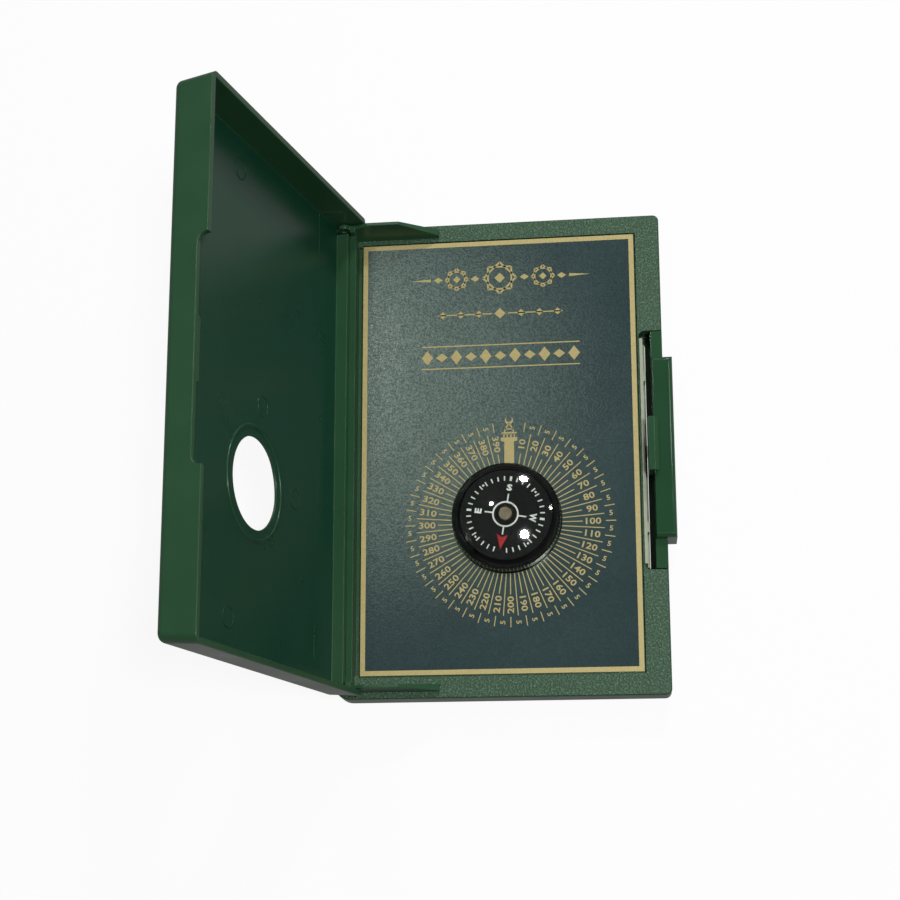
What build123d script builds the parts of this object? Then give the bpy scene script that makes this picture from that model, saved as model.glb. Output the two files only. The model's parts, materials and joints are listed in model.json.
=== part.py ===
"""Qibla compass: a hinged pocket case with a printed dial plate and a button compass.

Millimetres, +Z up. The origin is the centre of the underside, +X runs from the hinge to the
latch and +Y runs along the case. The lid is drawn open, resting on its hinge stop.
"""
import os
from math import cos, radians, sin, tan

from build123d import *

# Case
case_width = 64.0
case_length = 96.0
base_height = 5.8
base_wall = 1.5
deck_thickness = 1.7
base_corner = 1.2
hinge_corner = 3.0
foot_radius = 0.7
deck_edge = 0.3

# Bottom cover
cover_thickness = 1.4
cover_gap = 0.1
cover_ledge = 1.0

# Printed dial plate and the adhesive sheet under it
plate_width = 54.0
plate_length = 87.6
plate_x = -0.05
plate_y = 0.3
plate_thickness = 0.5
tape_thickness = 0.15
plate_gap = 0.3
groove_depth = 1.2

# Lid
lid_depth = 7.4
lid_wall = 1.1
lid_panel = 1.2
lid_corner = 1.6
lid_draft = 0.6
lid_edge = 1.2
lid_seat_gap = 0.1
open_angle = 104.4
window_radius = 8.3
window_u = 32.3
window_y = -14.5
window_land = 0.35
window_bevel = 1.6
bead_radius = 9.9
bead_width = 0.6
bead_height = 0.2

# Hinge
hinge_inset = 1.7
hinge_rise = 4.3
stud_radius = 0.7
stud_play = 0.05
stud_reach = 0.15
spine_drop = 0.5
spine_gap = 0.3
stop_gap = 0.15
ear_gap = 0.25
ear_thickness = 1.4
ear_crest = 0.6
ear_height = 5.8
ear_boss = 1.3
ear_web = 4.9
boss_thickness = 0.8
wedge_lap = 1.0
ear_start = 4.1
ear_rise = 6.4
ear_flat = 12.8
ear_length = 20.3
ear_tip = 1.0
rail_width = 3.9
corner_blend = 1.2

# Latch
latch_y = -0.1
slot_length = 47.8
slot_inset = 4.5
slot_corner = 1.2
slot_wall = 1.4
slot_block = 3.0
slot_floor = 0.8
bar_thickness = 2.3
bar_gap = 0.2
button_length = 36.0
button_reach = 1.8
button_rise = 1.75
button_round = 0.9
latch_travel = 0.95
hook_length = 10.6
hook_stem = 1.2
hook_step = 0.2
nose_reach = 0.7
nose_height = 0.75
catch_depth = 0.8
catch_height = 0.8
catch_gap = 0.15
notch_gap = 0.2
notch_corner = 1.6
notch_slack = 3.0
tongue_length = 1.2
tongue_width = 1.0
tongue_height = 1.6
tongue_play = 0.2
tab_length = 2.0
tab_height = 2.6
flange_width = 0.6
flange_drop = 0.5
tab_pitch = 15.2

# Compass capsule
capsule_x = 1.4
capsule_y = -13.45
capsule_radius = 10.5
capsule_wall = 0.8
capsule_sink = 1.8
capsule_gap = 0.15
rim_rise = 4.0
dome_rise = 2.5
pocket_floor = 1.2
cup_gap = 0.1
cup_floor = 1.0
cup_wall = 0.7
cup_height = 4.0
rim_round = 2.0
dial_radius = 8.6
dial_thickness = 0.5
dial_rise = 2.9
magnet_length = 13.0
magnet_width = 4.4
magnet_thickness = 1.0
north_turn = 9.0
cap_radius = 1.5
cap_height = 0.9
cap_stem = 1.1
needle_radius = 0.3
needle_taper = 0.9
needle_play = 0.08

# Places worked out from the sizes above
half_width = case_width / 2
half_length = case_length / 2
hinge_x = -half_width + hinge_inset
hinge_z = base_height + hinge_rise
lean = radians(open_angle)
lid_u = (cos(lean), 0, sin(lean))
lid_n = (-sin(lean), 0, cos(lean))
lid_plane = Plane(origin=(hinge_x, 0, hinge_z), x_dir=lid_u, z_dir=lid_n)
lid_side = Plane(origin=(hinge_x, 0, hinge_z), x_dir=lid_u, z_dir=(0, -1, 0))
lid_top = lid_depth - hinge_rise
lid_rim = lid_seat_gap - hinge_rise
lid_inside = lid_top - lid_panel
lid_free_u = case_width - hinge_inset

ear_outer = half_length - lid_wall - ear_gap
ear_inner = ear_outer - ear_thickness
boss_inner = ear_outer - boss_thickness
ear_top = base_height + ear_height
spine_half = boss_inner - spine_gap

slot_x = half_width - slot_inset
bar_x = half_width - bar_thickness
bar_length = slot_length - 2 * bar_gap
block_x = slot_x - slot_wall
block_length = slot_length + 2 * slot_block
tongue_z = (cover_thickness + base_height - deck_thickness) / 2
tongue_slot = tongue_width + latch_travel + 2 * tongue_play
tongue_x = bar_x + tongue_play
cover_reach = bar_x - latch_travel - cover_gap
flange_x = slot_x + cover_gap
tab_width = cover_reach - flange_x - flange_width
button_top = base_height + button_rise
notch_length = button_length + notch_slack
catch_low = button_rise + notch_gap - hinge_rise
nose_z = hinge_z + catch_low + catch_height + catch_gap

plate_recess = tape_thickness + plate_thickness
tape_z = base_height - plate_recess
capsule_at = (capsule_x, capsule_y)
capsule_bore = capsule_radius + capsule_gap
pocket_z = base_height - capsule_sink - tape_thickness
cup_z = pocket_z + tape_thickness
rim_z = base_height + rim_rise
dial_z = base_height + dial_rise
cap_top = dial_z + dial_thickness + cap_height


def face_box(x0, x1, y0, y1, mode=Mode.ADD):
    """Rectangle between two corners on the current sketch."""
    with Locations(((x0 + x1) / 2, (y0 + y1) / 2)):
        return Rectangle(abs(x1 - x0), abs(y1 - y0), mode=mode)


def cavity_outline(inset):
    """Inside of the base on the current sketch, clear of the block round the latch slot."""
    extra = inset - base_wall
    face_box(-half_width + inset, half_width - inset, -half_length + inset, half_length - inset)
    with Locations((half_width, latch_y)):
        Rectangle(2 * (half_width - block_x + extra), block_length + 2 * extra, mode=Mode.SUBTRACT)


def boss_outline():
    """Side view of the boss that carries a hinge stud, and its foot on the rail."""
    with Locations((hinge_x, hinge_z)):
        Circle(ear_boss)
    rail_face = -half_width + rail_width
    Polygon(
        (hinge_x - ear_boss, base_height - deck_edge),
        (hinge_x - ear_boss, hinge_z),
        (hinge_x, hinge_z),
        (hinge_x, base_height + ear_web),
        (rail_face, base_height + ear_web),
        (rail_face, base_height - deck_edge),
        align=None,
    )
    with Locations((hinge_x, hinge_z)):
        Circle(stud_radius + stud_play, mode=Mode.SUBTRACT)


def wedge_outline():
    """Side view of a hinge ear beside the boss: a low web, then a flat-topped wedge."""
    left = -half_width
    web_x = left + rail_width - wedge_lap
    Polygon(
        (web_x, base_height - deck_edge),
        (web_x, base_height + ear_web),
        (left + ear_start, base_height + ear_web),
        (left + ear_rise, ear_top),
        (left + ear_flat, ear_top),
        (left + ear_length, base_height + ear_tip),
        (left + ear_length, base_height - deck_edge),
        align=None,
    )


def rail_outline():
    """Section of the hinge rail, its top sloped to stop the lid at the open angle."""
    foot = base_height - 2 * deck_edge
    left = -half_width
    right = left + rail_width
    stop_x = hinge_x - (hinge_inset + stop_gap) * cos(lean)
    stop_z = hinge_z - (hinge_inset + stop_gap) * sin(lean)
    slope = tan(lean - radians(90))
    Polygon(
        (left, foot),
        (left, stop_z + (left - stop_x) * slope),
        (right, stop_z + (right - stop_x) * slope),
        (right, foot),
        align=None,
    )


# Base tray: deck, walls, hinge rail and ears, latch slot and compass pocket
with BuildPart() as base_tray:
    with BuildSketch():
        Rectangle(case_width, case_length)
    extrude(amount=base_height)
    corners = base_tray.edges().filter_by(Axis.Z).sort_by(Axis.X)
    fillet(corners[:2], hinge_corner)
    fillet(corners[2:], base_corner)
    fillet(base_tray.faces().sort_by(Axis.Z)[0].outer_wire().edges(), foot_radius)
    fillet(base_tray.faces().sort_by(Axis.Z)[-1].outer_wire().edges(), deck_edge)
    with BuildSketch(Plane.XZ):
        rail_outline()
    extrude(amount=ear_inner + ear_thickness / 2, both=True)
    for side in (-1, 1):
        with BuildSketch(Plane.XZ.offset(-side * ear_outer)):
            boss_outline()
        extrude(amount=side * boss_thickness)
        with BuildSketch(Plane.XZ.offset(-side * ear_outer)):
            wedge_outline()
        extrude(amount=side * ear_thickness)
    rail_face = -half_width + rail_width
    upright = base_tray.edges().filter_by(Axis.Z).filter_by_position(Axis.X, rail_face - 0.01, rail_face + 0.01)
    fillet(upright, corner_blend)
    # The ears thin towards their crest, on the inside
    for side in (-1, 1):
        with BuildSketch(Plane.YZ.offset(rail_face)):
            Polygon(
                (side * ear_inner, base_height),
                (side * (ear_outer - ear_crest), ear_top),
                (side * (ear_inner - corner_blend), ear_top),
                (side * (ear_inner - corner_blend), base_height),
                align=None,
            )
        extrude(amount=ear_length, mode=Mode.SUBTRACT)
    with BuildSketch():
        cavity_outline(base_wall)
    extrude(amount=cover_thickness, mode=Mode.SUBTRACT)
    with BuildSketch(Plane.XY.offset(cover_thickness)):
        cavity_outline(base_wall + cover_ledge)
    extrude(amount=base_height - deck_thickness - cover_thickness, mode=Mode.SUBTRACT)
    # Compass pocket in its own boss
    with BuildSketch(Plane.XY.offset(pocket_z - pocket_floor)):
        with Locations(capsule_at):
            Circle(capsule_bore + base_wall)
    extrude(amount=base_height - deck_thickness - pocket_z + pocket_floor)
    with BuildSketch(Plane.XY.offset(pocket_z)):
        with Locations(capsule_at):
            Circle(capsule_bore)
    extrude(amount=base_height - pocket_z, mode=Mode.SUBTRACT)
    with BuildSketch(Plane.XY.offset(tape_z)):
        with Locations((plate_x, plate_y)):
            Rectangle(plate_width + 2 * plate_gap, plate_length + 2 * plate_gap)
    extrude(amount=plate_recess, mode=Mode.SUBTRACT)
    # Groove between the plate and the rail
    with BuildSketch(Plane.XY.offset(base_height - groove_depth)):
        face_box(rail_face, plate_x - plate_width / 2, plate_y - plate_length / 2, plate_y + plate_length / 2)
    extrude(amount=groove_depth, mode=Mode.SUBTRACT)
    # Latch slot, open to the side, with a floor under the latch
    with BuildSketch(Plane.XY.offset(slot_floor)):
        with Locations((half_width, latch_y)):
            RectangleRounded(2 * slot_inset, slot_length, slot_corner)
    extrude(amount=base_height - slot_floor, mode=Mode.SUBTRACT)
    # Way for the cover's lip under the slot wall, and the grooves that guide the latch
    way_half = slot_length / 2 - slot_corner
    with BuildSketch():
        face_box(block_x - cover_gap, cover_reach + cover_gap, latch_y - way_half, latch_y + way_half)
    extrude(amount=cover_thickness + cover_gap, mode=Mode.SUBTRACT)
    groove_left = tongue_x - tongue_play - latch_travel
    with BuildSketch(Plane.XY.offset(tongue_z - tongue_height / 2 - tongue_play)):
        with Locations((groove_left + tongue_slot / 2, latch_y)):
            Rectangle(tongue_slot, bar_length + 2 * (tongue_length + tongue_play))
    extrude(amount=tongue_height + 2 * tongue_play, mode=Mode.SUBTRACT)
    base_tray.part.label = "base_tray"

# Bottom cover with a lip, a flange and three ribs that show through the latch slot
with BuildPart() as bottom_cover:
    with BuildSketch():
        cavity_outline(base_wall + cover_gap)
        lip_length = slot_length - 2 * slot_corner - 2 * cover_gap
        face_box(block_x - slot_wall, cover_reach, latch_y - lip_length / 2, latch_y + lip_length / 2)
    extrude(amount=cover_thickness)
    with BuildSketch(Plane.XY.offset(cover_thickness)):
        face_box(flange_x, flange_x + flange_width, latch_y - lip_length / 2, latch_y + lip_length / 2)
    extrude(amount=base_height - flange_drop - cover_thickness)
    with BuildSketch(Plane.XY.offset(cover_thickness)):
        with Locations((cover_reach - tab_width / 2, latch_y)):
            with GridLocations(0, tab_pitch, 1, 3):
                Rectangle(tab_width, tab_length)
    extrude(amount=tab_height)
    bottom_cover.part.label = "bottom_cover"

# Adhesive sheet and printed plate, both open round the capsule
with BuildPart() as plate_tape:
    with BuildSketch(Plane.XY.offset(tape_z)):
        with Locations((plate_x, plate_y)):
            Rectangle(plate_width, plate_length)
        with Locations(capsule_at):
            Circle(capsule_bore, mode=Mode.SUBTRACT)
    extrude(amount=tape_thickness)
    plate_tape.part.label = "plate_tape"

with BuildPart() as dial_plate:
    with BuildSketch(Plane.XY.offset(tape_z + tape_thickness)):
        with Locations((plate_x, plate_y)):
            Rectangle(plate_width, plate_length)
        with Locations(capsule_at):
            Circle(capsule_bore, mode=Mode.SUBTRACT)
    extrude(amount=plate_thickness)
    dial_plate.part.label = "dial_plate"

# Latch: guided bar, push button and the hook that holds the lid
with BuildPart() as latch_bar:
    bar_foot = slot_floor + tongue_play
    with BuildSketch(Plane.XY.offset(bar_foot)):
        with Locations(((bar_x + half_width) / 2, latch_y)):
            Rectangle(bar_thickness, bar_length)
    extrude(amount=base_height - bar_foot)
    with BuildSketch(Plane.XY.offset(tongue_z - tongue_height / 2)):
        with Locations((tongue_x + tongue_width / 2, latch_y)):
            Rectangle(tongue_width, bar_length + 2 * tongue_length)
    extrude(amount=tongue_height)
    with BuildSketch(Plane.XY.offset(bar_foot)):
        face_box(bar_x + tongue_play, half_width + button_reach,
                 latch_y - button_length / 2, latch_y + button_length / 2)
    extrude(amount=button_top - bar_foot)
    top_face = latch_bar.faces().sort_by(Axis.Z)[-1]
    fillet(top_face.edges().filter_by(Axis.X) + top_face.edges().sort_by(Axis.X)[-1:], button_round)
    stem_right = hinge_x + lid_free_u - lid_wall - catch_depth - catch_gap
    stem_left = stem_right - hook_stem
    with BuildSketch(Plane.XZ.offset(-latch_y)):
        Polygon(
            (stem_left, base_height - 2 * hook_step),
            (stem_left, nose_z + nose_height),
            (stem_right, nose_z + nose_height),
            (stem_right + nose_reach, nose_z + nose_height / 3),
            (stem_right + nose_reach, nose_z),
            (stem_right, nose_z),
            (stem_right, button_top - button_round),
            (bar_x + hook_stem, button_top - button_round),
            (bar_x + hook_stem, base_height - 2 * hook_step),
            align=None,
        )
    extrude(amount=hook_length / 2, both=True)
    latch_bar.part.label = "latch_bar"

# Lid: drawn on its own tilted plane, with the hinge line as its origin
with BuildPart() as lid_shell:
    lid_up = Axis(lid_plane.origin, lid_plane.z_dir)
    spine_at = lid_plane.from_local_coords(Vector(-hinge_inset, 0, 0))
    with BuildSketch(Plane(origin=spine_at, x_dir=(0, 1, 0), z_dir=lid_u)):
        Polygon(
            (-half_length, lid_rim),
            (half_length, lid_rim),
            (half_length - lid_draft, lid_top),
            (lid_draft - half_length, lid_top),
            align=None,
        )
    extrude(amount=case_width)
    lid_along = Axis(lid_plane.origin, lid_plane.x_dir)
    for end in (0, -1):
        upright_edges = lid_shell.faces().sort_by(lid_along)[end].edges().filter_by(Axis.Y, reverse=True)
        fillet(upright_edges, lid_corner)
    fillet(lid_shell.faces().sort_by(lid_up)[-1].outer_wire().edges(), lid_edge)
    inner_half = half_length - lid_wall
    with BuildSketch(lid_plane.offset(lid_rim)):
        face_box(lid_wall - hinge_inset, lid_free_u - lid_wall, -inner_half, inner_half)
    extrude(amount=lid_inside - lid_rim, mode=Mode.SUBTRACT)
    # The spine stops short of the rail and runs only between the ears
    with BuildSketch(lid_plane.offset(lid_rim)):
        face_box(-2 * hinge_inset, lid_wall, -inner_half, inner_half)
    extrude(amount=-lid_rim - spine_drop, mode=Mode.SUBTRACT)
    with BuildSketch(lid_plane.offset(lid_rim)):
        for side in (-1, 1):
            face_box(-2 * hinge_inset, lid_wall, side * spine_half, side * inner_half)
    extrude(amount=lid_inside - lid_rim, mode=Mode.SUBTRACT)
    # End walls rounded about the hinge line so that they swing clear of the deck
    with BuildSketch(lid_side):
        face_box(-2 * hinge_inset, 0, 2 * lid_rim, 0)
        Circle(-lid_rim, mode=Mode.SUBTRACT)
    extrude(amount=case_length, both=True, mode=Mode.SUBTRACT)
    for side in (-1, 1):
        with BuildSketch(lid_side.offset(side * (inner_half + lid_wall / 2))):
            Circle(stud_radius)
        extrude(amount=-side * (inner_half + lid_wall / 2 - boss_inner - stud_reach))
    # Window over the compass, bevelled on the outside, with a low bead round it on the inside
    with BuildSketch(lid_plane.offset(lid_inside - bead_height)):
        with Locations((window_u, window_y)):
            Circle(bead_radius + bead_width)
            Circle(bead_radius, mode=Mode.SUBTRACT)
    extrude(amount=bead_height)
    with BuildSketch(lid_plane.offset(lid_inside)):
        with Locations((window_u, window_y)):
            Circle(window_radius)
    extrude(amount=window_land, mode=Mode.SUBTRACT)
    with Locations(lid_plane * Location((window_u, window_y, lid_inside + window_land))):
        Cone(window_radius, window_radius + window_bevel, lid_panel - window_land,
             align=(Align.CENTER, Align.CENTER, Align.MIN), mode=Mode.SUBTRACT)
    # Catch rib and the notch that clears the push button
    catch_u = lid_free_u - lid_wall - catch_depth
    catch_half = hook_length / 2 + notch_gap
    with BuildSketch(lid_plane.offset(catch_low)):
        face_box(catch_u, catch_u + catch_depth, latch_y - catch_half, latch_y + catch_half)
    extrude(amount=catch_height)
    notch_at = lid_plane.from_local_coords(Vector(lid_free_u, latch_y, lid_rim))
    free_face = Plane(origin=notch_at, x_dir=(0, 1, 0), z_dir=lid_u)
    with BuildSketch(free_face):
        RectangleRounded(notch_length, 2 * (catch_low - lid_rim), notch_corner)
    extrude(amount=-lid_wall, mode=Mode.SUBTRACT)
    lid_shell.part.label = "lid_shell"

# Compass capsule
with BuildPart() as capsule_tape:
    with BuildSketch(Plane.XY.offset(pocket_z)):
        with Locations(capsule_at):
            Circle(capsule_radius - capsule_wall - cup_gap)
    extrude(amount=tape_thickness)
    capsule_tape.part.label = "capsule_tape"

with BuildPart() as compass_cup:
    cup_radius = capsule_radius - capsule_wall - cup_gap
    with BuildSketch(Plane.XY.offset(cup_z)):
        with Locations(capsule_at):
            Circle(cup_radius)
    extrude(amount=cup_height)
    with BuildSketch(Plane.XY.offset(cup_z + cup_floor)):
        with Locations(capsule_at):
            Circle(cup_radius - cup_wall)
    extrude(amount=cup_height - cup_floor, mode=Mode.SUBTRACT)
    compass_cup.part.label = "compass_cup"

capsule_axis = Axis((capsule_x, capsule_y, 0), (0, 0, 1))
capsule_section = Plane(origin=(capsule_x, capsule_y, 0), x_dir=(1, 0, 0), z_dir=(0, -1, 0))
dome_radius = (capsule_radius**2 + dome_rise**2) / (2 * dome_rise)
dome_centre = rim_z + dome_rise - dome_radius


def dome_point(radius, out):
    """Point of a dome of the given radius, at a distance out from the capsule's axis."""
    return (out, dome_centre + (radius**2 - out**2) ** 0.5)


with BuildPart() as compass_lens:
    bore = capsule_radius - capsule_wall
    inner_dome = dome_radius - capsule_wall
    with BuildSketch(capsule_section):
        with BuildLine():
            outer_arc = ThreePointArc(*[dome_point(dome_radius, capsule_radius * k) for k in (1, 0.5, 0)])
            inner_arc = ThreePointArc(*[dome_point(inner_dome, bore * k) for k in (0, 0.5, 1)])
            Line(outer_arc @ 1, inner_arc @ 0)
            Polyline(inner_arc @ 1, (bore, cup_z), (capsule_radius, cup_z), outer_arc @ 0)
        make_face()
    revolve(axis=capsule_axis)
    inner_rim = inner_arc @ 1
    for edge_z, edge_round in ((rim_z, rim_round), (inner_rim.Y, rim_round - capsule_wall)):
        shoulder = compass_lens.edges().filter_by_position(Axis.Z, edge_z - 0.01, edge_z + 0.01)
        fillet(shoulder, edge_round)
    compass_lens.part.label = "compass_lens"

# Pivot needle and the turning dial with its magnet and cap
needle_foot = cup_z + cup_floor
needle_top = cap_top - cap_height / 2
with BuildPart() as pivot_needle:
    with BuildSketch(capsule_section):
        Polygon(
            (0, needle_foot),
            (needle_radius, needle_foot),
            (needle_radius, needle_top - needle_play - needle_taper),
            (0, needle_top - needle_play),
            align=None,
        )
    revolve(axis=capsule_axis)
    pivot_needle.part.label = "pivot_needle"

with BuildPart() as dial_disc:
    with BuildSketch(Plane.XY.offset(dial_z)):
        with Locations(capsule_at):
            Circle(dial_radius)
            Circle(cap_stem, mode=Mode.SUBTRACT)
    extrude(amount=dial_thickness)
    dial_disc.part.label = "dial_disc"

with BuildPart() as dial_magnet:
    with BuildSketch(Plane.XY.offset(dial_z - magnet_thickness)):
        with Locations(capsule_at):
            Rectangle(magnet_width, magnet_length, rotation=-north_turn)
            Circle(cap_stem, mode=Mode.SUBTRACT)
    extrude(amount=magnet_thickness)
    dial_magnet.part.label = "dial_magnet"

with BuildPart() as jewel_cap:
    with BuildSketch(capsule_section):
        Polygon(
            (0, needle_top),
            (needle_radius + needle_play, needle_top - needle_taper),
            (needle_radius + needle_play, dial_z - magnet_thickness),
            (cap_stem, dial_z - magnet_thickness),
            (cap_stem, dial_z + dial_thickness),
            (cap_radius, dial_z + dial_thickness),
            (cap_radius, cap_top - cap_height / 3),
            (cap_radius - cap_height / 3, cap_top),
            (0, cap_top),
            align=None,
        )
    revolve(axis=capsule_axis)
    jewel_cap.part.label = "jewel_cap"

os.makedirs("parts", exist_ok=True)
for piece in (base_tray, bottom_cover, plate_tape, dial_plate, latch_bar, lid_shell, capsule_tape,
              compass_cup, compass_lens, pivot_needle, dial_disc, dial_magnet, jewel_cap):
    export_step(piece.part, f"parts/{piece.part.label}.step")
    box = piece.part.bounding_box()
    print(piece.part.label, len(piece.part.solids()), round(piece.part.volume, 2), box.min, box.max)
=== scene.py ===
# %% [markdown]
# # A pocket qibla compass
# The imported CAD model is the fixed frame: a moulded green case with a hinged lid, a printed
# plate, a push latch and a small domed compass. This file only dresses it. The solids keep
# their shapes and get real finishes, and the print, the dial's marks, the clear dome and the
# moulding marks are modelled here, because they are too thin or too smooth for the solids.

# %% Load the case
import json
import math

import bmesh
import bpy
from mathutils import Matrix, Vector


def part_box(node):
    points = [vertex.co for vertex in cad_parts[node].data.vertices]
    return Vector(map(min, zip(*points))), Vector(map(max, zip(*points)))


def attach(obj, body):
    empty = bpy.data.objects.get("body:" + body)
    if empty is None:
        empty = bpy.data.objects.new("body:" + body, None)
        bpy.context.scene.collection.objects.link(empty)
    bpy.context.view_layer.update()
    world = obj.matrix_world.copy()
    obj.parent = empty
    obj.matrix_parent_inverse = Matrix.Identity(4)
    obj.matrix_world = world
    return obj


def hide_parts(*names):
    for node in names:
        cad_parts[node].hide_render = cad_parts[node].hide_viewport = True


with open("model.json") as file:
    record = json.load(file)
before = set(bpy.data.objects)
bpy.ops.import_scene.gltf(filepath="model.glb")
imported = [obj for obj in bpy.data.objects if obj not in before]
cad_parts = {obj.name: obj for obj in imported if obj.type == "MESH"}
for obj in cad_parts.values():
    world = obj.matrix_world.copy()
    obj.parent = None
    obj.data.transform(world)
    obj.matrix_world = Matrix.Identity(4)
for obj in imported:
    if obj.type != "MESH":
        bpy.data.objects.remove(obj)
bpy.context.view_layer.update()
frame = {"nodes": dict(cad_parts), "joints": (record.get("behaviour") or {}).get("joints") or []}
case = frame["nodes"]
MM = 0.001

# %% [markdown]
# ## Camera
# The photograph looks down on the open case from a little in front and to the right. A camera
# can be aimed with a constraint, but here its place, its line of sight and its upward
# direction are known, so three vectors give its matrix. A small shift moves the frame without
# turning the camera, which keeps the upright edges as parallel as the photograph has them.

# %% Camera
sensor_width_mm = 36.0
focal_length_mm = 65.235
nearest_seen = 10 * MM
camera_place = Vector((22.68, -90.56, 310.80)) * MM
camera_look = Vector((-0.11465, 0.20370, -0.97230)).normalized()
camera_up = Vector((0.02394, 0.97903, 0.20229))
camera_right = camera_look.cross(camera_up).normalized()
camera_turn = Matrix((camera_right, camera_right.cross(camera_look), -camera_look)).transposed()

lens = bpy.data.cameras.new("photo_camera")
lens.sensor_width = sensor_width_mm
lens.lens = focal_length_mm
lens.shift_x = 0.0206
lens.shift_y = 0.1537
lens.clip_start = nearest_seen
camera = bpy.data.objects.new("photo_camera", lens)
camera.matrix_world = Matrix.Translation(camera_place) @ camera_turn.to_4x4()
bpy.context.scene.collection.objects.link(camera)
bpy.context.scene.camera = camera
bpy.context.scene.view_settings.view_transform = "Standard"
print("camera", [round(c, 4) for c in camera.location])

# %% [markdown]
# ## Helpers for finishes
# Colours are written as sRGB hex, the way a paint chart gives them, and one function makes
# them linear for the shader. One more adds a node, sets it and links it, so that each finish
# below reads as a list of what the real surface has. Every pattern's scale comes from a real
# size in millimetres.

# %% Helpers for finishes
def linear(hex_code):
    """Linear RGBA of an sRGB hex colour."""
    shares = [int(hex_code[i:i + 2], 16) / 255 for i in (1, 3, 5)]
    return [c / 12.92 if c <= 0.04045 else ((c + 0.055) / 1.055) ** 2.4 for c in shares] + [1.0]


def add_node(tree, kind, inputs=None, **settings):
    """Add a node, set its properties, and give its inputs a value or a link each."""
    made = tree.nodes.new(kind)
    for name, value in settings.items():
        setattr(made, name, value)
    for name, value in (inputs or {}).items():
        if isinstance(value, bpy.types.NodeSocket):
            tree.links.new(value, made.inputs[name])
        else:
            made.inputs[name].default_value = value
    return made


def new_finish(name):
    """A new material: itself, its empty node tree and the socket of its place in metres."""
    finish = bpy.data.materials.new(name)
    finish.use_nodes = True
    finish.node_tree.nodes.clear()
    place = add_node(finish.node_tree, "ShaderNodeTexCoord").outputs["Object"]
    return finish, finish.node_tree, place


def per_size(size_mm):
    """Texture scale whose features repeat about once in this many millimetres."""
    return 1 / (size_mm * MM)


print("white is", linear("#FFFFFF"))

# %% [markdown]
# ## Floor
# The ground is a pale sheet. What the camera or the clear dome sees of it is nearly white,
# through Light Path, and the rest of it still takes the soft shadow. In a mirror image, and
# where it throws light back, the sheet is duller, so that the satin case isn't washed out.

# %% Floor
floor_size = 3.0
floor_drop = 0.05 * MM
white_seen = 0.92
white_mirrored = 0.22
bm = bmesh.new()
bmesh.ops.create_grid(bm, x_segments=1, y_segments=1, size=floor_size,
                      matrix=Matrix.Translation((0, 0, -floor_drop)))
floor_mesh = bpy.data.meshes.new("floor_sheet")
bm.to_mesh(floor_mesh)
bm.free()
floor_sheet = bpy.data.objects.new("floor_sheet", floor_mesh)
bpy.context.scene.collection.objects.link(floor_sheet)

# Matt white paper: an even pale ground with no gloss, where a shadow stays soft and grey.
paper, tree, _ = new_finish("paper_sheet_matt")
path = add_node(tree, "ShaderNodeLightPath")
seen = add_node(tree, "ShaderNodeMath", {
    0: path.outputs["Is Camera Ray"], 1: path.outputs["Is Transmission Ray"]}, operation="MAXIMUM")
seen_share = add_node(tree, "ShaderNodeMath", {
    0: seen.outputs[0], 1: white_seen}, operation="MULTIPLY")
mirrored = add_node(tree, "ShaderNodeMath", {
    0: path.outputs["Is Glossy Ray"], 1: white_mirrored}, operation="MULTIPLY")
share = add_node(tree, "ShaderNodeMath", {
    0: seen_share.outputs[0], 1: mirrored.outputs[0]}, operation="MAXIMUM")
tone = add_node(tree, "ShaderNodeMix", {
    "Factor": seen.outputs[0], "A": linear("#6E6E6C"), "B": linear("#F4F4F4")}, data_type="RGBA")
matt = add_node(tree, "ShaderNodeBsdfDiffuse", {"Color": tone.outputs["Result"]})
glow = add_node(tree, "ShaderNodeEmission", {"Color": linear("#FFFFFF"), "Strength": 1.0})
mixed = add_node(tree, "ShaderNodeMixShader", {
    0: share.outputs[0], 1: matt.outputs[0], 2: glow.outputs[0]})
add_node(tree, "ShaderNodeOutputMaterial", {"Surface": mixed.outputs[0]})
floor_mesh.materials.append(paper)
print("floor", floor_size * 2, "m across")

# %% [markdown]
# ## Light
# A handful of round ceiling lamps light the case, as in a shop or an office. In the glossy
# dome such lamps show as round white spots, while matt surfaces only see their sum, which is
# set so that a colour renders about as it is written. Each lamp's power follows from its
# width and its radiance, so a spot can grow without growing brighter. The last is a wide, weak
# panel where the plate mirrors it to the camera. Light linking keeps it to the plate and its
# border, which get a soft sheen from it, and no grey disc shows in the dome.

# %% Lamps
lamp_reach = 0.7
lamps = (  # direction from the case, width in mm, radiance
    ((0.261, -0.165, 0.951), 112, 80),
    ((0.210, 0.733, 0.647), 90, 80),
    ((-0.275, 0.358, 0.892), 60, 40),
    ((0.639, 0.291, 0.712), 50, 27),
    ((-0.165, 0.330, 0.929), 210, 2.85),
)
plate_only = bpy.data.collections.new("sheen_receivers")
plate_only.objects.link(case["dial_plate"])
for number, (direction, width, radiance) in enumerate(lamps):
    light = bpy.data.lights.new(f"round_lamp_{number}", "AREA")
    light.shape = "DISK"
    light.size = width * MM
    light.energy = math.pi * radiance * math.pi * (light.size / 2) ** 2
    lamp = bpy.data.objects.new(light.name, light)
    toward = Vector(direction).normalized()
    lamp.location = toward * lamp_reach
    lamp.rotation_euler = toward.to_track_quat("Z", "Y").to_euler()
    bpy.context.scene.collection.objects.link(lamp)
lamp.light_linking.receiver_collection = plate_only
print("lamps", len(lamps))

# %% [markdown]
# ## Room
# Between the lamps the room is dim and even, so that shadows keep a little light and the dome
# stays dark where it mirrors no lamp. A plain world does this, with no walls to build.

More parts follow.
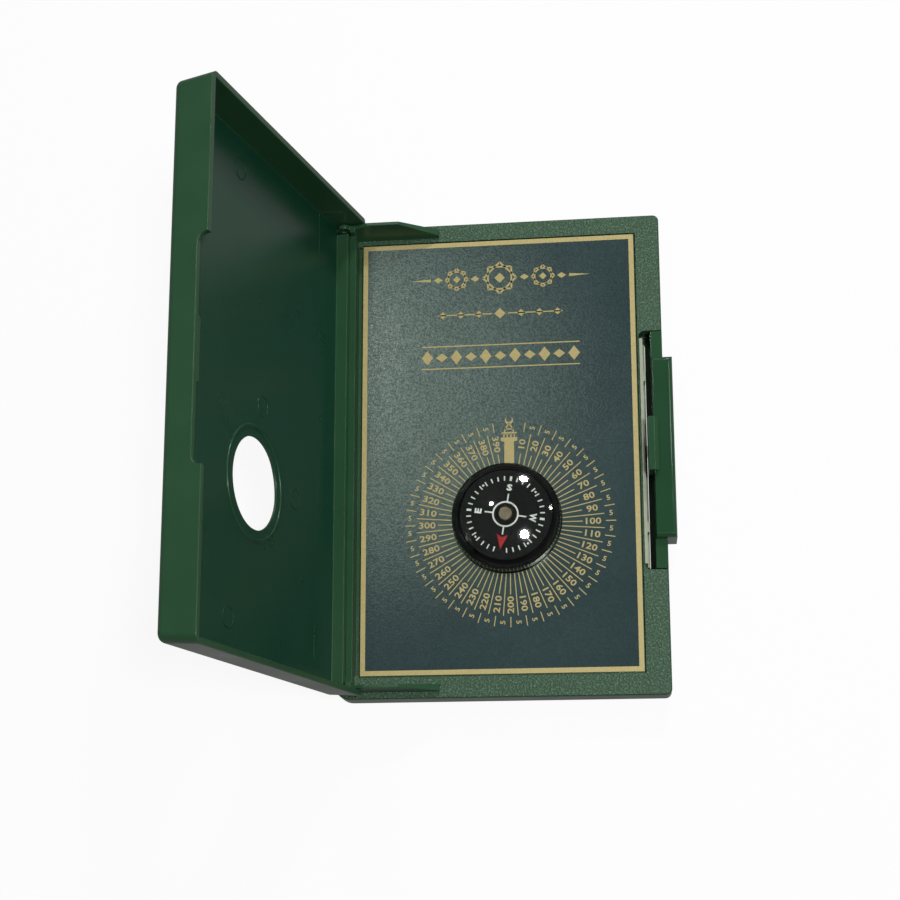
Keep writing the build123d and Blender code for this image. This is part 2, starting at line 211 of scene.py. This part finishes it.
# %% Room
room_level = 0.10
horizon_level = 0.18
horizon_low, horizon_high = 0.17, 0.34
room = bpy.data.worlds.new("dim_room")
bpy.context.scene.world = room
room.use_nodes = True
tree = room.node_tree
tree.nodes.clear()
direction = add_node(tree, "ShaderNodeTexCoord").outputs["Generated"]
height = add_node(tree, "ShaderNodeSeparateXYZ", {0: direction}).outputs["Z"]
path = add_node(tree, "ShaderNodeLightPath")
# A mirror image shows the horizon a little brighter than the room above it.
horizon = add_node(tree, "ShaderNodeMapRange", {
    "Value": height, "From Min": horizon_low, "From Max": horizon_high,
    "To Min": horizon_level, "To Max": room_level})
level = add_node(tree, "ShaderNodeMix", {
    "Factor": path.outputs["Is Diffuse Ray"], "A": horizon.outputs[0], "B": room_level},
    data_type="FLOAT")
# Only the camera sees the backdrop as white, and it throws no light on the case.
backdrop = add_node(tree, "ShaderNodeMix", {
    "Factor": path.outputs["Is Camera Ray"], "A": level.outputs["Result"], "B": 1.0},
    data_type="FLOAT")
sky = add_node(tree, "ShaderNodeBackground", {"Color": backdrop.outputs["Result"], "Strength": 1.0})
add_node(tree, "ShaderNodeOutputWorld", {"Surface": sky.outputs[0]})
print("room at", room_level)

# %% [markdown]
# ## Green ABS
# The case is injection-moulded ABS. The lid's inside and the latch come from a polished tool,
# so they are satin with faint flow marks. The lid's inner face is painted a darker, bluer green
# as painted shade, and the button's top a little darker. The deck and the outside of the lid
# come from a spark-eroded tool face, so they carry a fine sharp grain that scatters the light.
# It looks paler because pale glints are painted on its tops, as painted highlights, over a face
# painted a little darker as shade in its pits. The grain could be displaced geometry, but it is
# a tenth of a millimetre high, so a bump does. A Bevel node rounds the normals at the edges, as
# a moulded edge is never sharp.

# %% Green ABS finishes
grain_mm = 0.36
grain_relief_mm = 0.2


def green_abs(name, axis, grain_level, polish_level, darker_face_green, rough, grain_rough, edge_mm):
    """Satin green ABS, grained with painted glints on the face at one level along axis,
    and painted a darker green on the polished face at another.
    """
    finish, tree, place = new_finish(name)
    flow = add_node(tree, "ShaderNodeTexNoise", {
        "Vector": place, "Scale": per_size(9), "Detail": 3.0})
    # A spark-eroded grain is about 0.1 mm; it is drawn coarser so that a pixel can show it.
    grain = add_node(tree, "ShaderNodeTexNoise", {
        "Vector": place, "Scale": per_size(grain_mm), "Detail": 2.0})
    along = add_node(tree, "ShaderNodeVectorMath", {
        0: place, 1: axis}, operation="DOT_PRODUCT").outputs["Value"]
    mask = add_node(tree, "ShaderNodeMath", {
        0: along, 1: grain_level, 2: 0.02 * MM}, operation="COMPARE")
    polish = add_node(tree, "ShaderNodeMath", {
        0: along, 1: polish_level, 2: 0.3 * MM}, operation="COMPARE")
    # Only the flat face at that level is polished and painted darker, and not the walls that cross
    # it.
    normal = add_node(tree, "ShaderNodeTexCoord").outputs["Normal"]
    facing = add_node(tree, "ShaderNodeVectorMath", {
        0: normal, 1: axis}, operation="DOT_PRODUCT").outputs["Value"]
    flat = add_node(tree, "ShaderNodeMath", {0: facing, 1: 2.0}, operation="POWER")
    darker_face_mask = add_node(tree, "ShaderNodeMath", {
        0: polish.outputs[0], 1: flat.outputs[0]}, operation="MULTIPLY")
    # The polished face is painted a darker green. On the lid's inside this is painted shade, as
    # that face turns sideways, away from the overhead lamps; on the button's top it is only darker.
    darker_face_mix = add_node(tree, "ShaderNodeMix", {
        "Factor": darker_face_mask.outputs[0], "A": linear(case_green), "B": linear(darker_face_green)},
        data_type="RGBA")
    tone = add_node(tree, "ShaderNodeMapRange", {
        "Value": flow.outputs["Fac"], "From Min": 0.3, "From Max": 0.7,
        "To Min": 0.96, "To Max": 1.04})
    # Painted shade: the whole grained face is painted a little darker, for the shade in its pits.
    grain_pit_shade = add_node(tree, "ShaderNodeMapRange", {
        "Value": mask.outputs[0], "To Min": 1.0, "To Max": 0.84})
    value = add_node(tree, "ShaderNodeMath", {
        0: tone.outputs[0], 1: grain_pit_shade.outputs[0]}, operation="MULTIPLY")
    body = add_node(tree, "ShaderNodeHueSaturation", {
        "Color": darker_face_mix.outputs["Result"], "Value": value.outputs[0]})
    # Painted highlights: the tops of the grain are painted pale, as glints of light.
    peak = add_node(tree, "ShaderNodeMapRange", {
        "Value": grain.outputs["Fac"], "From Min": 0.49, "From Max": 0.70,
        "To Min": 0.0, "To Max": 0.27})
    glint_share = add_node(tree, "ShaderNodeMath", {
        0: peak.outputs[0], 1: mask.outputs[0]}, operation="MULTIPLY")
    shade = add_node(tree, "ShaderNodeMix", {
        "Factor": glint_share.outputs[0], "A": body.outputs[0], "B": linear(grain_glint_green)},
        data_type="RGBA")
    satin = add_node(tree, "ShaderNodeMapRange", {
        "Value": flow.outputs["Fac"], "From Min": 0.3, "From Max": 0.7,
        "To Min": rough - 0.03, "To Max": rough + 0.04})
    matt = add_node(tree, "ShaderNodeMix", {
        "Factor": mask.outputs[0], "A": satin.outputs[0], "B": grain_rough}, data_type="FLOAT")
    edge = add_node(tree, "ShaderNodeBevel", {"Radius": edge_mm * MM}, samples=12)
    relief = add_node(tree, "ShaderNodeMath", {
        0: grain.outputs["Fac"], 1: mask.outputs[0]}, operation="MULTIPLY")
    eroded = add_node(tree, "ShaderNodeBump", {
        "Height": relief.outputs[0], "Distance": grain_relief_mm * MM, "Strength": 1.0,
        "Normal": edge.outputs[0]})
    surface = add_node(tree, "ShaderNodeBsdfPrincipled", {
        "Base Color": shade.outputs["Result"], "Roughness": matt.outputs[0], "IOR": 1.53,
        "Normal": eroded.outputs[0]})
    add_node(tree, "ShaderNodeOutputMaterial", {"Surface": surface.outputs[0]})
    return finish


case_green = "#2A5034"
# Painted highlight: the pale green of the glints on the grain.
grain_glint_green = "#8FC29C"
# Painted shade: the lid's inner face is painted this darker, bluer green.
lid_inner_shade_green = "#10402D"
# The button's top is painted this slightly darker green.
button_top_darker_green = "#22492F"
deck_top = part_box("dial_plate")[1].z
lid_joint = next(j for j in frame["joints"] if j["name"] == "lid_hinge")
open_angle = math.radians(lid_joint["range_deg"][1])
hinge = Vector(lid_joint["pos_m"])
lid_u = Vector((math.cos(open_angle), 0, math.sin(open_angle)))
lid_n = Vector((-math.sin(open_angle), 0, math.cos(open_angle)))
lid_outside = 3.1 * MM
lid_inside = 1.9 * MM
button_top = deck_top + 1.75 * MM
no_level = 1.0  # far above the case, so nothing is there
upward = Vector((0, 0, 1))

# Deck: a matt green that sparkles from its bump and from painted glints. Lid: satin inside, with a
# soft mirror image and a painted shade, and grained with painted glints outside.
base_abs = green_abs("abs_moulded_grained_deck", upward, deck_top, no_level, case_green,
                     rough=0.30, grain_rough=0.55, edge_mm=0.25)
lid_abs = green_abs("abs_moulded_grained_lid", lid_n, hinge.dot(lid_n) + lid_outside,
                    hinge.dot(lid_n) + lid_inside, lid_inner_shade_green,
                    rough=0.30, grain_rough=0.45, edge_mm=0.35)
# Latch: moulded in a satin cavity, with a polished top to its button that is painted a little
# darker.
latch_abs = green_abs("abs_moulded_satin", upward, no_level, button_top, button_top_darker_green,
                      rough=0.13, grain_rough=0.45, edge_mm=0.25)
print("grain at", round(deck_top / MM, 2), "mm")

# %% [markdown]
# ## Slate plate and gold ink
# The plate is a printed plastic card: a slate-blue ground under a satin varnish whose fine
# orange peel sparkles where it mirrors a lamp, and a gold ink that holds metal flakes. The
# sparkle is gloss and not colour, so it only shows inside the sheen, as on the real card.

# %% Slate plate finish
# Varnished card: a soft slate with a satin sheen that breaks up into fine flecks.
slate_print, tree, place = new_finish("pvc_card_slate_varnish")
peel = add_node(tree, "ShaderNodeTexNoise", {
    "Vector": place, "Scale": per_size(0.33), "Detail": 2.0})
cloud = add_node(tree, "ShaderNodeTexNoise", {
    "Vector": place, "Scale": per_size(14), "Detail": 3.0})
tone = add_node(tree, "ShaderNodeMapRange", {
    "Value": cloud.outputs["Fac"], "From Min": 0.3, "From Max": 0.7,
    "To Min": 0.93, "To Max": 1.07})
shade = add_node(tree, "ShaderNodeHueSaturation", {
    "Color": linear("#2B3C3F"), "Value": tone.outputs[0]})
gloss = add_node(tree, "ShaderNodeMapRange", {
    "Value": cloud.outputs["Fac"], "From Min": 0.3, "From Max": 0.7,
    "To Min": 0.17, "To Max": 0.20})
fleck = add_node(tree, "ShaderNodeMapRange", {
    "Value": peel.outputs["Fac"], "From Min": 0.35, "From Max": 0.65,
    "To Min": 0.27, "To Max": 0.73})
relief = add_node(tree, "ShaderNodeBump", {
    "Height": peel.outputs["Fac"], "Distance": 0.012 * MM, "Strength": 1.0})
surface = add_node(tree, "ShaderNodeBsdfPrincipled", {
    "Base Color": shade.outputs[0], "Roughness": gloss.outputs[0], "IOR": 1.5,
    "Specular IOR Level": fleck.outputs[0], "Specular Tint": linear("#EAFFE8"),
    "Normal": relief.outputs[0]})
add_node(tree, "ShaderNodeOutputMaterial", {"Surface": surface.outputs[0]})
print("plate finish", slate_print.name)

# %% [markdown]
# ## The other finishes
# The small parts differ in colour, gloss and the size of their mottle, and not in the way
# they are built, so one function makes them all.

# %% Other finishes
def mottled(name, colour, spread, size_mm, rough, relief_mm, metallic=0.0, shine=0.5):
    """A finish whose tone and gloss wander at a real size, with a little relief."""
    finish, tree, place = new_finish(name)
    noise = add_node(tree, "ShaderNodeTexNoise", {
        "Vector": place, "Scale": per_size(size_mm), "Detail": 4.0})
    tone = add_node(tree, "ShaderNodeMapRange", {
        "Value": noise.outputs["Fac"], "From Min": 0.3, "From Max": 0.7,
        "To Min": 1 - spread, "To Max": 1 + spread})
    shade = add_node(tree, "ShaderNodeHueSaturation", {
        "Color": linear(colour), "Value": tone.outputs[0]})
    gloss = add_node(tree, "ShaderNodeMapRange", {
        "Value": noise.outputs["Fac"], "From Min": 0.3, "From Max": 0.7,
        "To Min": rough * 0.9, "To Max": rough * 1.1})
    relief = add_node(tree, "ShaderNodeBump", {
        "Height": noise.outputs["Fac"], "Distance": relief_mm * MM, "Strength": 1.0})
    surface = add_node(tree, "ShaderNodeBsdfPrincipled", {
        "Base Color": shade.outputs[0], "Roughness": gloss.outputs[0], "Metallic": metallic,
        "Specular IOR Level": shine, "Normal": relief.outputs[0]})
    add_node(tree, "ShaderNodeOutputMaterial", {"Surface": surface.outputs[0]})
    return finish


# Screen-printed gold: metal flakes in lacquer, a dull warm glow with no mirror image.
gold_ink = mottled("gold_ink_screen_printed", "#B0A26C", 0.10, 0.4, 0.5, 0.004, metallic=0.25)
# Printed dial card in damping fluid: a deep flat black, white and red with almost no shine.
dial_black = mottled("dial_card_black_print", "#07080A", 0.30, 0.3, 0.6, 0.004, shine=0.1)
dial_white = mottled("dial_ink_white", "#C9CCC9", 0.05, 0.3, 0.6, 0.002, shine=0.1)
dial_red = mottled("dial_ink_red", "#96262A", 0.12, 0.3, 0.6, 0.002, shine=0.1)
# Turned brass, browned by age: a dim metal spot at the centre of the dial.
brass = mottled("brass_turned_tarnished", "#6A6152", 0.25, 0.3, 0.35, 0.01, metallic=1.0)
# Polystyrene cover: pale, a little milky, and dull from the moulding.
pale_styrene = mottled("polystyrene_moulded_pale", "#A4AC94", 0.08, 0.7, 0.45, 0.01)
# Black ABS cup: a dark satin ring below the dial.
black_abs = mottled("abs_moulded_black", "#040505", 0.20, 0.6, 0.4, 0.01, shine=0.05)
# Foam tape: an off-white, open, quite matt edge.
foam_tape = mottled("acrylic_foam_tape", "#D8D6CC", 0.10, 0.3, 0.8, 0.03)
# Drawn steel needle and sintered ferrite magnet: bright metal, and a dull dark grey.
steel = mottled("steel_drawn", "#8D9092", 0.10, 0.2, 0.25, 0.002, metallic=1.0)
ferrite = mottled("ferrite_sintered", "#34363A", 0.20, 0.15, 0.6, 0.02)

dressed = {
    "base_tray": base_abs, "lid_shell": lid_abs, "latch_bar": latch_abs,
    "bottom_cover": pale_styrene, "dial_plate": slate_print, "plate_tape": foam_tape,
    "capsule_tape": foam_tape, "compass_cup": black_abs, "pivot_needle": steel,
    "dial_disc": dial_black, "dial_magnet": ferrite, "jewel_cap": brass,
}
for node_name, finish in dressed.items():
    case[node_name].data.materials.clear()
    case[node_name].data.materials.append(finish)
print("dressed", len(dressed), "solids")

# %% [markdown]
# ## Clear acrylic
# The dome is cast acrylic: clear, with small lamp spots, and a faint green tint through its
# thickness. Refracting glass would also throw a heavy shadow on the dial, so for shadow rays
# the shader mixes to a transparent one, and the light reaches the dial as it really does.

# %% Clear acrylic finish
# Cast acrylic: clear to the eye, with a trace of green and lamp spots that are a little soft.
acrylic_tint = "#F2F8F2"
clear, tree, place = new_finish("acrylic_cast_clear")
path = add_node(tree, "ShaderNodeLightPath")
wave = add_node(tree, "ShaderNodeTexNoise", {
    "Vector": place, "Scale": per_size(6), "Detail": 1.0})
haze = add_node(tree, "ShaderNodeMapRange", {
    "Value": wave.outputs["Fac"], "To Min": 0.05, "To Max": 0.08})
glass = add_node(tree, "ShaderNodeBsdfPrincipled", {
    "Base Color": linear(acrylic_tint), "Roughness": haze.outputs[0], "IOR": 1.45,
    "Transmission Weight": 1.0})
open_air = add_node(tree, "ShaderNodeBsdfTransparent", {"Color": linear(acrylic_tint)})
mixed = add_node(tree, "ShaderNodeMixShader", {
    0: path.outputs["Is Shadow Ray"], 1: glass.outputs[0], 2: open_air.outputs[0]})
add_node(tree, "ShaderNodeOutputMaterial", {"Surface": mixed.outputs[0]})
print("dome finish", clear.name)

# %% [markdown]
# ## Making a piece
# Every piece is drawn in a bmesh, given its finish, and set to ride on a body of the frame.
# Its object stays at the origin and its place is in its mesh, as the solids have it.

# %% Helper for pieces
def make_piece(bm, name, finish, body, smooth_angle=None):
    """Turn a bmesh into a named piece that rides on a body of the frame."""
    bmesh.ops.recalc_face_normals(bm, faces=bm.faces)
    mesh = bpy.data.meshes.new(name)
    bm.to_mesh(mesh)
    bm.free()
    mesh.materials.append(finish)
    if smooth_angle is not None:
        mesh.shade_smooth()
        mesh.set_sharp_from_angle(angle=math.radians(smooth_angle))
    piece = bpy.data.objects.new(name, mesh)
    bpy.context.scene.collection.objects.link(piece)
    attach(piece, body)
    print(name, len(mesh.polygons), "faces on", body)
    return piece


# %% [markdown]
# ## The clear dome
# The dome of a button compass is a shallow cap on a straight wall, filled with a clear damping
# fluid. The solid's facets would show in glass, so a smooth body stands for it. The fluid bends
# light almost as the acrylic does, so the surface between them can't be seen: the body is
# the whole filled dome and not a shell. Its section is a flat arc, a round shoulder, a wall
# and a bottom, and a spin turns it about the axis.

# %% Clear dome
lens_low, lens_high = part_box("compass_lens")
capsule = Vector(((lens_low.x + lens_high.x) / 2, (lens_low.y + lens_high.y) / 2, 0))
dome_reach = (lens_high.x - lens_low.x) / 2
dome_rise = 2.5 * MM
shoulder = 2.0 * MM
dome_ball = (dome_reach ** 2 + dome_rise ** 2) / (2 * dome_rise)
ball_height = lens_high.z - dome_ball
bend_out = dome_reach - shoulder
bend_height = ball_height + math.sqrt((dome_ball - shoulder) ** 2 - bend_out ** 2)
bend_start = math.asin(bend_out / (dome_ball - shoulder))
cap_steps, shoulder_steps, spin_steps = 24, 12, 128
section = []
for k in range(cap_steps + 1):
    turn = bend_start * k / cap_steps
    section.append((dome_ball * math.sin(turn), ball_height + dome_ball * math.cos(turn)))
for k in range(1, shoulder_steps + 1):
    turn = bend_start + (math.pi / 2 - bend_start) * k / shoulder_steps
    section.append((bend_out + shoulder * math.sin(turn), bend_height + shoulder * math.cos(turn)))
section += [(dome_reach, lens_low.z), (0, lens_low.z)]

bm = bmesh.new()
profile = [bm.verts.new(capsule + Vector((out, 0, height))) for out, height in section]
edges = [bm.edges.new(pair) for pair in zip(profile, profile[1:])]
bmesh.ops.spin(bm, geom=profile + edges, cent=capsule, axis=(0, 0, 1), angle=2 * math.pi,
               steps=spin_steps)
bmesh.ops.remove_doubles(bm, verts=bm.verts, dist=0.001 * MM)
dome = make_piece(bm, "clear_dome", clear, "base", smooth_angle=50)
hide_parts("compass_lens")
print("dome ball", round(dome_ball / MM, 2), "mm")

# %% [markdown]
# ## Printing helpers
# Screen-printed ink stands a few hundredths of a millimetre proud. It could be painted by a
# texture, but numbers and thin lines stay sharp from close by only as geometry. Four small
# helpers print a line, a filled outline, a ring and a number on the flat face of a place
# matrix, whose own Z is the face's normal.

# %% Printing helpers
INK = 0.02 * MM


def ink_up(bm, place, faces, thick):
    """Raise flat faces into a layer along the place's own Z."""
    raised = bmesh.ops.extrude_face_region(bm, geom=faces, use_keep_orig=True)["geom"]
    up = place.to_3x3() @ Vector((0, 0, thick))
    bmesh.ops.translate(bm, verts=[v for v in raised if isinstance(v, bmesh.types.BMVert)], vec=up)


def ink_line(bm, place, start, end, width, thick=INK):
    """Print a straight line between two points in mm."""
    start, end = Vector((*start, 0)) * MM, Vector((*end, 0)) * MM
    along = end - start
    turn = Matrix.Rotation(math.atan2(along.y, along.x), 4, "Z")
    size = Matrix.Diagonal((along.length, width * MM, thick, 1))
    middle = Matrix.Translation((start + end) / 2 + Vector((0, 0, thick / 2)))
    bmesh.ops.create_cube(bm, size=1.0, matrix=place @ middle @ turn @ size)


def ink_shape(bm, place, outline):
    """Print a filled shape from its outline in mm."""
    corners = [bm.verts.new(place @ Vector((x * MM, y * MM, 0))) for x, y in outline]
    ink_up(bm, place, [bm.faces.new(corners)], INK)


def ink_ring(bm, place, centre, radius, width, segments=64, thick=INK):
    """Print a ring of a mean radius and a width in mm."""
    at = place @ Matrix.Translation((centre[0] * MM, centre[1] * MM, 0))
    edges = set()
    for reach in (radius - width / 2, radius + width / 2):
        loop = bmesh.ops.create_circle(bm, segments=segments, radius=reach * MM, matrix=at)["verts"]
        edges |= {e for v in loop for e in v.link_edges}
    ink_up(bm, place, bmesh.ops.bridge_loops(bm, edges=list(edges))["faces"], thick)


def ink_text(bm, place, words, height, stretch=1.15, weight=0.012):
    """Print words of a height in mm, with their middle at place."""
    curve = bpy.data.curves.new("print_words", "FONT")
    curve.body = words
    curve.resolution_u = 2
    curve.offset = weight
    curve.extrude = 0.5
    letters = bpy.data.objects.new("print_words", curve)
    mesh = bpy.data.meshes.new_from_object(letters)
    low = Vector([min(v.co[i] for v in mesh.vertices) for i in range(3)])
    high = Vector([max(v.co[i] for v in mesh.vertices) for i in range(3)])
    scale = height * MM / (high.y - low.y)
    shift = Vector(((low.x + high.x) / 2, (low.y + high.y) / 2, low.z))
    size = Matrix.Diagonal((scale * stretch, scale, INK, 1))
    mesh.transform(place @ size @ Matrix.Translation(-shift))
    bm.from_mesh(mesh)
    bpy.data.objects.remove(letters)
    bpy.data.curves.remove(curve)
    bpy.data.meshes.remove(mesh)


print("ink", INK / MM, "mm thick")

# %% [markdown]
# ## The plate's gold border
# A plain band of gold runs along the very edge of the card. Four lines make it, two of them
# between the other two, so that no corner is printed twice.

# %% Gold border
plate_low, plate_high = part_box("dial_plate")
plate_face = Matrix.Translation((0, 0, deck_top))
band = 0.95
left, right = plate_low.x / MM, plate_high.x / MM
bottom, top = plate_low.y / MM, plate_high.y / MM
bm = bmesh.new()
for y in (bottom + band / 2, top - band / 2):
    ink_line(bm, plate_face, (left, y), (right, y), band)
for x in (left + band / 2, right - band / 2):
    ink_line(bm, plate_face, (x, bottom + band), (x, top - band), band)
border = make_piece(bm, "gold_border", gold_ink, "base")
plate_only.objects.link(border)

# %% [markdown]
# ## The printed scale
# Round the capsule the card is divided into 400 parts. Each ten has a line, a number and an
# outer tick, and each five a longer line and a small 5. The numbers read outwards on the right
# half and inwards on the left, so that they stand the right way up along the sides.

# %% Printed scale
scale_place = Vector((1.95, -14.20, 0)) * MM
scale_face = plate_face @ Matrix.Translation(scale_place)
hole_centre = (capsule - scale_place) / MM
hole_radius = 10.7
line_width = 0.18
step_angle = 4.5  # one eightieth of a turn, which is five parts of 400
short_end, long_end = 14.0, 18.2
tick_start, tick_end = 18.4, 20.4
number_reach, number_height = 16.05, 1.3
five_reach, five_height = 19.5, 1.0
bm = bmesh.new()
for step in range(2, 79):
    bearing = math.radians(step * step_angle)
    out = Vector((math.sin(bearing), math.cos(bearing)))
    # Each line starts at the capsule's hole, which isn't quite at the scale's centre.
    across = out.dot(hole_centre.to_2d())
    start = across + math.sqrt(
        across ** 2 + hole_radius ** 2 - hole_centre.to_2d().length_squared)
    reading_out = step < 40
    turn = Matrix.Rotation(math.pi / 2 - bearing + (0 if reading_out else math.pi), 4, "Z")
    is_ten = step % 2 == 0
    ink_line(bm, scale_face, out * start, out * (short_end if is_ten else long_end), line_width)
    if is_ten:
        ink_line(bm, scale_face, out * tick_start, out * tick_end, line_width)
        spot = scale_face @ Matrix.Translation(out.to_3d() * number_reach * MM) @ turn
        ink_text(bm, spot, str(step * 5), number_height, stretch=1.3, weight=0.02)
    else:
        spot = scale_face @ Matrix.Translation(out.to_3d() * five_reach * MM) @ turn
        ink_text(bm, spot, "5", five_height, weight=0.02)
make_piece(bm, "gold_scale", gold_ink, "base")

# %% [markdown]
# ## The pointer
# At the zero of the scale a small tower points away from the compass: a shaft, a balcony, an
# open lantern with three arches, a cupola and a crescent. Each part is one filled outline or a
# few lines, as a screen printer would cut it.

# %% Pointer
def arc(radius, height, angles):
    """Points in mm on an arc about a point on the tower's axis, by their angles in degrees."""
    turns = [math.radians(angle) for angle in angles]
    return [(radius * math.sin(turn), height - radius * math.cos(turn)) for turn in turns]


foot = hole_centre.y + math.sqrt(hole_radius ** 2 - hole_centre.x ** 2)
tower_rise = 0.65
stroke = 0.24
tower = scale_face @ Matrix.Translation((0, (foot + tower_rise) * MM, 0))
bm = bmesh.new()
shaft_and_balcony = ((-0.95, -tower_rise), (0.95, -tower_rise), (0.95, 4.3), (1.6, 4.45),
                     (1.6, 5.15), (-1.6, 5.15), (-1.6, 4.45), (-0.95, 4.3))
ink_shape(bm, tower, shaft_and_balcony)
for x in (-1.0, -0.36, 0.36, 1.0):
    ink_line(bm, tower, (x, 5.15), (x, 6.0), stroke)
lantern_roof = ((-1.2, 5.85), (1.2, 5.85), (1.65, 6.12), (0.95, 6.25), (-0.95, 6.25), (-1.65, 6.12))
ink_shape(bm, tower, lantern_roof)
ink_line(bm, tower, (-0.9, 6.3), (-0.62, 7.1), stroke)
ink_line(bm, tower, (0.9, 6.3), (0.62, 7.1), stroke)
ink_line(bm, tower, (-0.75, 6.85), (0.75, 6.85), stroke)
ink_line(bm, tower, (-0.68, 7.0), (-0.02, 7.95), stroke)
ink_line(bm, tower, (0.68, 7.0), (0.02, 7.95), stroke)
ink_shape(bm, tower, arc(0.8, 8.6, range(-140, 141, 20)) + arc(0.58, 8.84, range(130, -131, -20)))
make_piece(bm, "gold_pointer", gold_ink, "base")

# %% [markdown]
# ## The plate's ornament
# The head of the card carries three lines of gold ornament. Eight-pointed stars, each two
# squares laid over one another, and lozenges are an old pattern of this craft, and every shape
# in them is a straight line or a square, so the printing helpers are enough.

# %% Ornament
def lozenge(bm, place, x, y, half_width, half_height):
    """A filled lozenge."""
    ink_shape(bm, place, ((x - half_width, y), (x, y - half_height),
                          (x + half_width, y), (x, y + half_height)))


def star(bm, place, x, y, radius, width):
    """Two square outlines, one turned by an eighth, about a small lozenge."""
    for turn in (0, 45):
        turns = [math.radians(turn + corner) for corner in (0, 90, 180, 270)]
        corners = [(x + radius * math.sin(t), y + radius * math.cos(t)) for t in turns]
        for here, there in zip(corners, corners[1:] + corners[:1]):
            ink_line(bm, place, here, there, width)
    lozenge(bm, place, x, y, radius * 0.32, radius * 0.32)


middle = 0.4
star_row, bead_row, band_row = 36.2, 28.7, 19.9
band_top, band_bottom, band_reach = 22.2, 17.6, 15.6
bm = bmesh.new()
star(bm, plate_face, middle, star_row, 3.3, 0.36)
for side in (-1, 1):
    star(bm, plate_face, middle + side * 8.6, star_row, 2.3, 0.3)
    lozenge(bm, plate_face, middle + side * 4.9, star_row, 0.9, 0.6)
    lozenge(bm, plate_face, middle + side * 12.3, star_row, 0.9, 0.6)
    tip = ((13.8, -0.3), (18.0, 0), (13.8, 0.3))
    ink_shape(bm, plate_face, [(middle + side * x, star_row + side * y) for x, y in tip])
    ink_line(bm, plate_face, (middle + side * 1.6, bead_row), (middle + side * 12.4, bead_row),
             stroke)
    for x in (4.2, 7.8, 11.4):
        lozenge(bm, plate_face, middle + side * x, bead_row, 0.75, 0.75)
lozenge(bm, plate_face, middle, bead_row, 1.1, 1.1)
for y in (band_top, band_bottom):
    ink_line(bm, plate_face, (middle - band_reach, y), (middle + band_reach, y), stroke)
for number in range(11):
    x = middle + (number - 5) * 2.9
    lozenge(bm, plate_face, x, band_row, 1.15, 1.5 if number % 2 == 0 else 0.9)
make_piece(bm, "gold_ornament", gold_ink, "base")

# %% [markdown]
# ## The dial's marks
# The dial has a tick every ten degrees, heavier at the four quarters, a dot at the four
# between, a ring with four arms, three letters whose tops point outwards, and a red head at
# north. They are printed on the turning dial and ride with it.

# %% Dial marks
dial_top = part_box("dial_disc")[1].z
north_turn = math.radians(189)
dial_centre = Matrix.Translation(capsule + Vector((0, 0, dial_top)))
dial_face = dial_centre @ Matrix.Rotation(-north_turn, 4, "Z")
tick_start, tick_end = 6.4, 7.32
dot_reach, dot_radius = 6.95, 0.11
arm_start, arm_end = 2.3, 3.85
ring_radius = 2.28
letter_reach, letter_height = 5.1, 1.3
bm = bmesh.new()
for step in range(1, 36):
    bearing = math.radians(step * 10)
    out = Vector((math.sin(bearing), math.cos(bearing)))
    ink_line(bm, dial_face, out * tick_start, out * tick_end, 0.42 if step % 9 == 0 else 0.23)
for quarter in range(4):
    bearing = math.radians(45 + 90 * quarter)
    dot = (dot_reach * math.sin(bearing), dot_reach * math.cos(bearing))
    ink_ring(bm, dial_face, dot, dot_radius, 0.2, segments=12)
    arm = Vector((math.sin(math.pi / 2 * quarter), math.cos(math.pi / 2 * quarter)))
    ink_line(bm, dial_face, arm * arm_start, arm * arm_end, 0.26)
ink_ring(bm, dial_face, (0, 0), ring_radius, 0.3)
for quarter, letter, stretch in ((1, "E", 1.15), (2, "S", 1.25), (3, "W", 0.85)):
    spot = Matrix.Rotation(-math.pi / 2 * quarter, 4, "Z")
    spot = dial_face @ spot @ Matrix.Translation((0, letter_reach * MM, 0))
    ink_text(bm, spot, letter, letter_height, stretch=stretch, weight=0.045)
make_piece(bm, "dial_white_print", dial_white, "dial")

bm = bmesh.new()
north_head = ((-1.05, 3.85), (0, 4.35), (1.05, 3.85), (0, 6.7))
ink_shape(bm, dial_face, north_head)
make_piece(bm, "dial_red_north", dial_red, "dial")

# %% [markdown]
# ## Moulding marks in the lid
# Where the tool's round pins pushed the lid out they left faint rings, and where its sliding
# cores met the cavity they left thin lines near the hinge. Both are low relief in the same
# plastic, so the printing helpers draw them too, on the lid's inner face.

# %% Moulding marks
panel_axes = Matrix((lid_u, Vector((0, -1, 0)), -lid_n)).transposed().to_4x4()
panel_face = Matrix.Translation(hinge + lid_n * lid_inside) @ panel_axes
end_axes = Matrix((lid_u, lid_n, Vector((0, -1, 0)))).transposed().to_4x4()
end_inside = Vector((0, 46.9, 0)) * MM
end_face = Matrix.Translation(hinge + end_inside) @ end_axes
mark = 0.08 * MM
pin_radius, seam_width = 1.9, 0.16
pins = ((40.6, -41.0), (30.0, -0.3), (16.5, 13.4), (41.0, 39.7))
seams = ((panel_face, (7.75, -46.8), (7.6, -35.3)), (panel_face, (7.46, 35.4), (7.24, 42.0)),
         (end_face, (7.7, 1.9), (6.2, -2.4)))
bm = bmesh.new()
for pin in pins:
    ink_ring(bm, panel_face, pin, pin_radius, 0.25, thick=mark)
for face, start, end in seams:
    ink_line(bm, face, start, end, seam_width, thick=mark)
make_piece(bm, "lid_moulding_marks", lid_abs, "lid")
